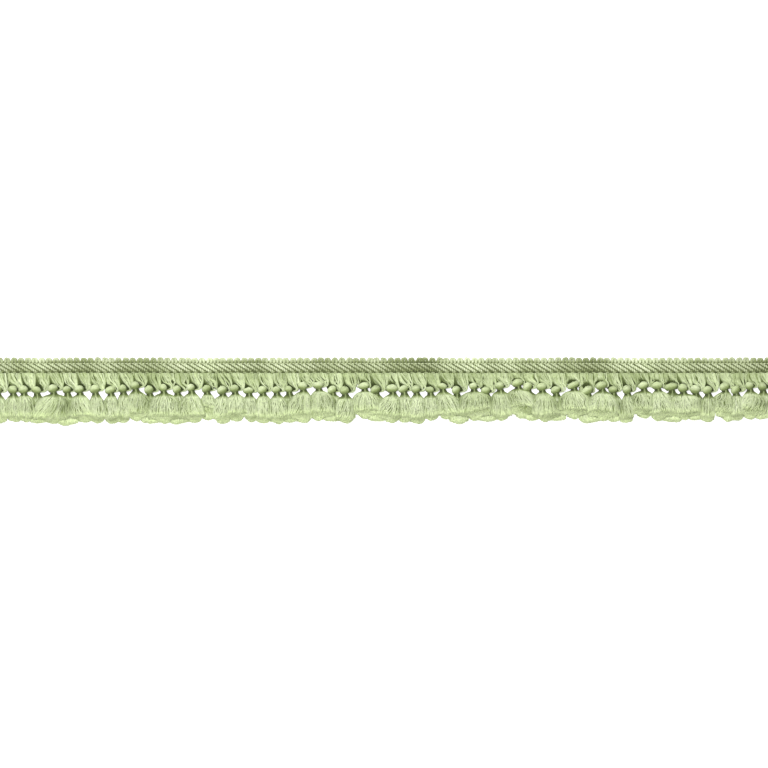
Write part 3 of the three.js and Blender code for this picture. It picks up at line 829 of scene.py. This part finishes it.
def skirt_core(form):
    """The closed body under a skirt's strands, a little under their outer face. Its sections go over the
    top from left to right and back underneath, and its end is closed from the rim down to the hem."""
    s = (np.linspace(0, 1, CORE_ROWS) ** 1.4)[:, None]
    angle = np.linspace(-math.pi / 2, math.pi / 2, CORE_TOP)[None]
    over = on_skirt(form, s, angle, -CORE_SUNK)
    over[:, :, 1] += CORE_SUNK * s
    under = over[:, 1:-1][:, ::-1].copy()
    low_y = form.hem_y + form.curve * np.sin(angle[:, 1:-1][:, ::-1]) ** 2 + CORE_SUNK
    under[:, :, 1] = form.tassel.neck_y + (low_y - form.tassel.neck_y) * s
    under[:, :, 2] = over[:, :1, 2]
    under[-1] = skirt_hem(form, over[-1, 1:-1][::-1], angle[0, 1:-1][::-1]) + (0, CORE_SUNK, 0)
    rings = np.concatenate([over, under], axis=1)
    around = rings.shape[1]
    index = np.arange(CORE_ROWS * around).reshape(CORE_ROWS, around)
    beside = np.roll(index, -1, axis=1)
    wall = np.stack([index[:-1], index[1:], beside[1:], beside[:-1]], axis=-1).reshape(-1, 4)
    quads, triangles = [wall], []

    rim = rings[-1, :CORE_TOP]
    hem = np.concatenate([rim[:1], rings[-1, CORE_TOP:][::-1], rim[-1:]])
    grid = [index[-1, :CORE_TOP]]
    points = [rings.reshape(-1, 3)]
    first = CORE_ROWS * around
    for row in range(1, CORE_END_ROWS):
        share = row / CORE_END_ROWS
        points.append((rim + (hem - rim) * share)[1:-1])
        grid.append(np.concatenate([grid[0][:1], first + np.arange(CORE_TOP - 2), grid[0][-1:]]))
        first += CORE_TOP - 2
    grid.append(np.concatenate([grid[0][:1], index[-1, CORE_TOP:][::-1], grid[0][-1:]]))
    grid = np.array(grid)
    inner = np.stack([grid[:-1, 1:-2], grid[1:, 1:-2], grid[1:, 2:-1], grid[:-1, 2:-1]], axis=-1)
    quads.append(inner.reshape(-1, 4))
    triangles.append(np.stack([grid[:-1, 0], grid[1:, 1], grid[:-1, 1]], axis=-1))
    triangles.append(np.stack([grid[:-1, -2], grid[1:, -2], grid[:-1, -1]], axis=-1))

    points = np.concatenate(points)
    run = form.tassel.neck_y - points[:, 1]
    turn = points[:, 0] / CORE_TURN
    across = (points[:, 0] - points[:, 0].min()) / np.ptp(points[:, 0])
    share = np.clip(run / run.max(), 0, 1)
    faces = []
    for corners in (np.concatenate(quads), np.concatenate(triangles), index[:1]):
        faces.append({
            "corners": corners, "run": run[corners], "turn": turn[corners],
            "across": across[corners], "share": share[corners],
            "yarn": np.zeros((len(corners), 1), int),
        })
    block = {"points": points, "faces": faces, "yarns": 1}
    block["tone"] = np.full(len(points), CORE_TONE)
    # Painted shade: the core is dark under the strands and lighter at its cut end, which takes the end's
    # shaded patches. Towards the cut it also turns paler, which is partly painted light.
    block["tip"] = ramp(share, 0.75, 0.95)
    end = ramp(share, 0.5, 0.85)
    block["deep"] = 0.75 - 0.65 * end + end_shade(form, points[:, 0]) * end
    return block


HALF_FAN = math.radians(93)  # a little past the edges of the outer face
ROOT_ASIDE, ROOT_HALF, ROOT_DROP, ROOT_UP = 0.42, 1.3, 1.2, 0.9  # where strands start inside the knot
ROOT_WAY = -0.12


def skirt_strands(form, wisps, per_wisp, points, start, radius, raised):
    """Strands laid over a skirt's outer face in round wisps, from a share of the way down to the rim."""
    tassel = form.tassel
    count = wisps * per_wisp
    wisp = np.repeat(np.arange(wisps), per_wisp)
    inside = np.tile((np.arange(per_wisp) + 0.5) / per_wisp * 2 - 1, wisps)[:, None]
    pitch = 2 * HALF_FAN / wisps
    angle = ((wisp + 0.5) * pitch - HALF_FAN)[:, None] + 0.5 * pitch * inside
    angle = angle + chance.normal(0, 0.12 * pitch, (count, 1))
    s = start + (1 - start) * np.linspace(0, 1, points)[None] ** 1.2
    sway = chance.normal(0, 0.06, (wisps, 1))[wisp] * s**2 + chance.normal(0, 0.02, (count, 1)) * s
    phase = chance.uniform(0, 2 * math.pi, (wisps, 1))[wisp] + chance.normal(0, 0.5, (count, 1))
    waves = chance.uniform(7, 17, (wisps, 1))[wisp] + chance.normal(0, 0.6, (count, 1))
    ripple = chance.uniform(0.03, 0.09, (wisps, 1))[wisp] * 5 / min(form.left, form.right)
    ripple = ripple * np.sin(waves * s + phase)
    rounded = np.sqrt(np.clip(1 - inside**2, 0, 1))
    lift = raised + 0.4 * (rounded - 1) * ramp(s, 0.03, 0.25) + chance.normal(0, 0.08, (wisps, 1))[wisp] * s
    lift = lift + 0.07 * np.cos(waves * s + phase) + chance.uniform(-0.06, 0.06, (count, 1))
    twist = form.twist * s * np.clip(1 - (angle / HALF_FAN) ** 2, 0, 1)
    paths = on_skirt(form, s, angle + sway + ripple + twist, lift - radius)
    length = chance.normal(0, 0.006, (wisps, 1))[wisp] + chance.normal(0, 0.008, (count, 1))
    paths[:, :, 1] += (paths[:, :, 1] - tassel.neck_y) * length * s**2
    way = np.broadcast_to(s, (count, points))
    side = np.abs(np.sin(angle))
    if start == 0:
        root = np.stack([
            tassel.knot_x + ROOT_ASIDE + ROOT_HALF * np.sin(angle),
            np.full_like(angle, tassel.knot_y - ROOT_DROP),
            KNOT_HEIGHT + ROOT_UP * np.cos(angle),
        ], axis=-1)
        paths = np.concatenate([root, paths], axis=1)
        way = np.concatenate([np.full((count, 1), ROOT_WAY), way], axis=1)
    paths[:, :, 2] = np.maximum(paths[:, :, 2], radius)

    # Painted shade: a strand is darker at the neck, in the grooves between wisps and at the sides of the
    # skirt, and each skirt's upper part is darker or lighter by a random amount of its own.
    deep = (0.42 + 0.48 * ramp(side, 0.1, 0.35)) * (1 - ramp(way, 0.02, 0.03 + form.neck_shade))
    groove = ramp(np.abs(inside), 0.5, 1.0) * ramp(way, 0.04, 0.15) * (1 - ramp(way, 0.5, 0.88))
    groove = groove * chance.uniform(0.4, 1.9, (wisps, 1))[wisp]
    deep = deep + groove * (0.5 + form.broken * np.cos(1.6 * waves * way + phase))
    deep = deep + 0.36 * side**6 * ramp(way, 0.03, 0.2) * (1 - 0.7 * ramp(way, 0.5, 0.95))
    deep = deep + (form.shade + 0.035) * ramp(way, 0.1, 0.2) * (1 - 0.8 * ramp(way, 0.5, 0.85))
    tone = form.tone + chance.normal(0.52, 0.15, wisps)[wisp] + chance.normal(0, 0.22, count)
    thickness = radius * chance.uniform(0.85, 1.15, (count, 1)) * (1 - 0.25 * ramp(way, 0.9, 1.0))
    # Towards the cut a strand turns paler, which is partly painted light.
    tip = 0.9 * ramp(way, 0.6, 1.0)
    return yarn_tubes(paths, thickness, STRAND_SIDES, np.clip(tone, 0, 1), tip=tip, deep=np.clip(deep, 0, 1))


END_RADIUS = 0.2
END_STEPS = (2.2, 1.0, 0.0)  # from the cut, back into the skirt
# Painted shade, a little deeper back from the cut, and the paler cut tip, partly painted light.
END_DEEP, END_TIP = (0.12, 0.02, 0.0), (0.6, 0.85, 1.0)  # at these steps


def skirt_end(form, count):
    """Short cut ends that fill the slanted face between a skirt's rim and its hem."""
    angle = np.arcsin(chance.uniform(-0.97, 0.97, count))
    share = chance.uniform(0.02, 1, count)
    rim = on_skirt(form, np.ones(count), angle, -END_RADIUS)
    end = rim + (skirt_hem(form, rim, angle) - rim) * share[:, None]
    end[:, 1] -= chance.uniform(-0.06, 0.12, count)
    aim_x = chance.normal(0, 0.25, count) - 0.25 * np.sin(angle)
    aim = np.stack([aim_x, np.ones(count), chance.normal(0.05, 0.1, count)], axis=-1)
    paths = np.stack([end + aim * back for back in END_STEPS], axis=1)
    paths[:, :, 2] = np.maximum(paths[:, :, 2], END_RADIUS)
    # Painted shade on the cut ends: some at random, the end's shaded patches and the skirt's own share.
    deep = 0.06 * chance.uniform(0, 1, (count, 1)) + np.array(END_DEEP)
    deep = deep + end_shade(form, end[:, :1]) + 0.6 * form.shade
    tip = np.broadcast_to(np.array(END_TIP), (count, len(END_TIP)))
    tone = np.clip(chance.normal(0.4, 0.2, count), 0, 1)
    return yarn_tubes(paths, END_RADIUS, STRAND_SIDES, tone, tip=tip, deep=deep)


WISP_WIDTH = 1.05
FLAT_WISPS, DOME_WISPS = 1.3, 1.08  # how closely wisps lie in each layer
FULL_STRANDS = {"points": 10, "start": 0.0}
LOWER_STRANDS = {"points": 5, "start": 0.5}  # only the half that a dome leaves in sight
PLAIN, LOOSE = {"radius": 0.17, "raised": 0.2}, {"radius": 0.13, "raised": 0.3}
TUCKED_ENDS, FLAT_ENDS, DOME_ENDS = 36, 30, 105
ENDS_PER_MM = 36  # more cut ends where the rim stands further back


def skirt_blocks(tassel):
    flat = skirt_form(tassel, False)
    flat_wisps = round(FLAT_WISPS * (flat.left + flat.right) / WISP_WIDTH)
    if tassel.skirt.crown == 0:
        return [
            skirt_core(flat),
            skirt_strands(flat, flat_wisps, per_wisp=7, **FULL_STRANDS, **PLAIN),
            skirt_end(flat, TUCKED_ENDS),
        ]
    dome = skirt_form(tassel, True)
    dome_wisps = round(DOME_WISPS * (dome.left + dome.right) / WISP_WIDTH)
    return [
        skirt_core(flat),
        skirt_strands(flat, flat_wisps, per_wisp=5, **LOWER_STRANDS, **PLAIN),
        skirt_end(flat, FLAT_ENDS),
        skirt_core(dome),
        skirt_strands(dome, dome_wisps, per_wisp=7, **FULL_STRANDS, **PLAIN),
        skirt_strands(dome, 2 * dome_wisps, per_wisp=1, **FULL_STRANDS, **LOOSE),
        skirt_end(dome, DOME_ENDS + round(ENDS_PER_MM * (dome.front_up + 0.5 * abs(dome.slant)))),
    ]


for tassel in tassels:
    node = f"tassel_{tassel.place + 1:02d}"
    blocks = [bundle_front(tassel), bundle_back(tassel)]
    blocks += knot_blocks(tassel) + skirt_blocks(tassel)
    piece = yarn_piece(f"{node}_yarn", blocks, fringe_yarn)
    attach(piece, "root")
    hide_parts(node)


# Table top
# A plain, nearly white surface that the trim lies flat on.
TABLE_SIZE = 6.0
TABLE_TOP = -0.0001  # just under the lowest yarns
bpy.ops.mesh.primitive_plane_add(size=TABLE_SIZE, location=(0, 0, TABLE_TOP))
table_top = bpy.context.object
table_top.name = "table_top"
paper_white = bpy.data.materials.new("paper_white")
paper_white.use_nodes = True
paper = paper_white.node_tree.nodes["Principled BSDF"]
paper.inputs["Base Color"].default_value = (0.5, 0.5, 0.5, 1.0)
paper.inputs["Roughness"].default_value = 0.9
paper.inputs["Specular IOR Level"].default_value = 0.1
paper.inputs["Emission Color"].default_value = (1.0, 1.0, 1.0, 1.0)
paper.inputs["Emission Strength"].default_value = 0.78
table_top.data.materials.append(paper_white)


# Light
# Soft studio light: an even white surround, and a broad lamp high beyond the looped edge, a little to the
# left, that is turned to the middle of the trim.
SURROUND = 0.5
LAMP_PLACE = (-0.2, 0.26, 1.12)
LAMP_SIZE = 0.5
LAMP_WATTS = 15.5
world = bpy.data.worlds.new("white_surround")
bpy.context.scene.world = world
world.use_nodes = True
world.node_tree.nodes["Background"].inputs["Color"].default_value = (1.0, 1.0, 1.0, 1.0)
world.node_tree.nodes["Background"].inputs["Strength"].default_value = SURROUND
bpy.ops.object.light_add(type="AREA", location=LAMP_PLACE)
lamp = bpy.context.object
lamp.name = "studio_lamp"
lamp.data.shape = "DISK"
lamp.data.size = LAMP_SIZE
lamp.data.energy = LAMP_WATTS
lamp.rotation_euler = (-lamp.location).to_track_quat("-Z", "Y").to_euler()


# Camera
# It looks straight down on the trim through a long lens, and the ends of the trim run out of the picture.
VIEW_WIDTH = 0.3851
VIEW_MIDDLE = (-0.0001, -0.00867, 0.002)
camera_data = bpy.data.cameras.new("camera")
camera_data.lens = 135.0
camera_data.sensor_width = 36.0
camera = bpy.data.objects.new("camera", camera_data)
distance = VIEW_WIDTH * camera_data.lens / camera_data.sensor_width
camera.location = (VIEW_MIDDLE[0], VIEW_MIDDLE[1], VIEW_MIDDLE[2] + distance)
camera_data.clip_end = 20.0
bpy.context.scene.collection.objects.link(camera)
bpy.context.scene.camera = camera
bpy.context.scene.view_settings.view_transform = "Standard"
